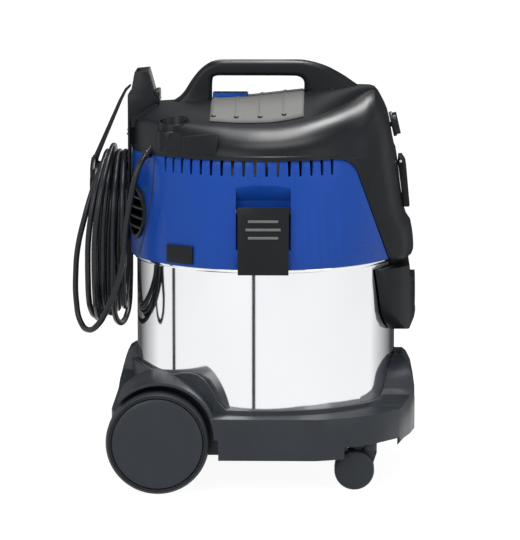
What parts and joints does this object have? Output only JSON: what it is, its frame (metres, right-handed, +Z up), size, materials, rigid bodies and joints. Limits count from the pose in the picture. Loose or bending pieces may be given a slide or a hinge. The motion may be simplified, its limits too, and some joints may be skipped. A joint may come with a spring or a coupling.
{
  "type": "shop vacuum",
  "caption": "Wheeled wet and dry drum vacuum: polished steel drum on a trolley, motor head with carrying handle, side latches, cord hook and wound mains cord.",
  "frame": {"origin": "on the floor, under the middle of the outline's box without its cord; the drum's axis is 14 mm in front of it", "axes": "+X is the front, where the hose goes in; +Y is the left side; +Z is up"},
  "size_m": [0.404, 0.376, 0.4845],
  "materials": {
    "black_plastic": "satin moulded plastic with a fine grain",
    "strap_plastic": "smooth satin plastic",
    "blue_plastic": "glossy moulded plastic",
    "tyre_rubber": "smooth soft rubber",
    "drum_steel": "bright polished stainless sheet",
    "bare_steel": "zinc plated",
    "grey_mat": "matt grey rubber",
    "seal_rubber": "soft foam rubber",
    "cord_rubber": "satin cord sheath",
    "plug_plastic": "satin moulded plug",
    "motor_steel": "pressed zinc coated steel",
    "fan_alloy": "bare sheet",
    "float_plastic": "smooth hollow ball",
    "filter_paper": "pleated filter paper"
  },
  "bodies": {
    "trolley": {"trolley_base": "black_plastic", "tank_clamps": "black_plastic", "wheel_axles": "bare_steel", "axle_clips": "bare_steel", "caster_sockets": "bare_steel", "drum": "drum_steel", "inlet_housing": "black_plastic", "inlet_gasket": "seal_rubber", "inlet_deflector": "black_plastic", "inlet_screws": "bare_steel"},
    "right_wheel": {"right_wheel_rim": "black_plastic", "right_wheel_tyre": "tyre_rubber", "right_wheel_cap": "black_plastic"},
    "left_wheel": {"left_wheel_rim": "black_plastic", "left_wheel_tyre": "tyre_rubber", "left_wheel_cap": "black_plastic"},
    "right_caster": {"right_caster_fork": "black_plastic", "right_caster_axle": "bare_steel"},
    "left_caster": {"left_caster_fork": "black_plastic", "left_caster_axle": "bare_steel"},
    "right_caster_roller": {"right_caster_wheels": "tyre_rubber"},
    "left_caster_roller": {"left_caster_wheels": "tyre_rubber"},
    "head": {"head_base": "black_plastic", "head_gasket": "seal_rubber", "side_band": "blue_plastic", "front_panel": "black_plastic", "top_cover": "black_plastic", "top_pad": "grey_mat", "carry_handle": "black_plastic", "housing_screws": "bare_steel", "clean_spring": "bare_steel", "latch_pins": "bare_steel", "band_clips": "black_plastic", "tube_holders": "black_plastic", "blower_port": "black_plastic", "switch_body": "black_plastic", "socket_body": "black_plastic", "flap_pin": "bare_steel", "cord_bracket": "black_plastic", "bracket_screws": "bare_steel", "strap_pin": "bare_steel", "cord_gland": "cord_rubber", "cord_lead": "cord_rubber", "cord_coil": "cord_rubber", "cord_tail": "cord_rubber", "mains_plug": "plug_plastic", "fan_housing": "motor_steel", "motor_can": "motor_steel", "filter_cage": "black_plastic", "filter_cartridge": "filter_paper", "filter_plate": "black_plastic"},
    "right_latch_lever": {"right_latch": "black_plastic"},
    "left_latch_lever": {"left_latch": "black_plastic"},
    "knob": {"switch_knob": "black_plastic"},
    "flap": {"socket_flap": "black_plastic"},
    "button": {"clean_button": "blue_plastic"},
    "strap": {"cord_strap": "strap_plastic"},
    "float": {"float_ball": "float_plastic"},
    "rotor": {"impeller": "fan_alloy", "motor_shaft": "motor_steel"}
  },
  "joints": [
    {"name": "right_wheel_spin", "type": "hinge", "parent": "trolley", "child": "right_wheel", "pos_m": [-0.107, -0.17, 0.0595], "axis": [0, 1, 0], "continuous": true},
    {"name": "left_wheel_spin", "type": "hinge", "parent": "trolley", "child": "left_wheel", "pos_m": [-0.107, 0.17, 0.0595], "axis": [0, 1, 0], "continuous": true},
    {"name": "right_caster_swivel", "type": "hinge", "parent": "trolley", "child": "right_caster", "pos_m": [0.136, -0.14, 0.06], "axis": [0, 0, 1], "continuous": true},
    {"name": "left_caster_swivel", "type": "hinge", "parent": "trolley", "child": "left_caster", "pos_m": [0.136, 0.14, 0.06], "axis": [0, 0, 1], "continuous": true},
    {"name": "right_caster_roll", "type": "hinge", "parent": "right_caster", "child": "right_caster_roller", "pos_m": [0.119, -0.14, 0.023], "axis": [0, 1, 0], "continuous": true},
    {"name": "left_caster_roll", "type": "hinge", "parent": "left_caster", "child": "left_caster_roller", "pos_m": [0.119, 0.14, 0.023], "axis": [0, 1, 0], "continuous": true},
    {"name": "head_lift", "type": "slide", "parent": "trolley", "child": "head", "axis": [0, 0, 1], "range_m": [0, 0.3]},
    {"name": "right_latch_swing", "type": "hinge", "parent": "head", "child": "right_latch_lever", "pos_m": [0.014, -0.15, 0.3225], "axis": [-1, 0, 0], "range_deg": [0, 45]},
    {"name": "left_latch_swing", "type": "hinge", "parent": "head", "child": "left_latch_lever", "pos_m": [0.014, 0.15, 0.3225], "axis": [1, 0, 0], "range_deg": [0, 45]},
    {"name": "switch_turn", "type": "hinge", "parent": "head", "child": "knob", "pos_m": [0.1605, 0, 0.408], "axis": [0.9744, 0, 0.225], "range_deg": [0, 90]},
    {"name": "flap_swing", "type": "hinge", "parent": "head", "child": "flap", "pos_m": [0.173, 0, 0.3679], "axis": [0, -1, 0], "range_deg": [0, 110]},
    {"name": "button_press", "type": "slide", "parent": "head", "child": "button", "axis": [0, 0, -1], "range_m": [0, 0.0035], "stiffness_N_per_m": 400, "springref_m": -0.002, "deforming": ["clean_spring"]},
    {"name": "strap_swing", "type": "hinge", "parent": "head", "child": "strap", "pos_m": [-0.1892, 0, 0.3565], "axis": [0, -1, 0], "range_deg": [0, 110]},
    {"name": "float_rise", "type": "slide", "parent": "head", "child": "float", "axis": [0, 0, 1], "range_m": [0, 0.048]},
    {"name": "rotor_spin", "type": "hinge", "parent": "head", "child": "rotor", "pos_m": [0.014, 0, 0.3345], "axis": [0, 0, 1], "continuous": true}
  ]
}
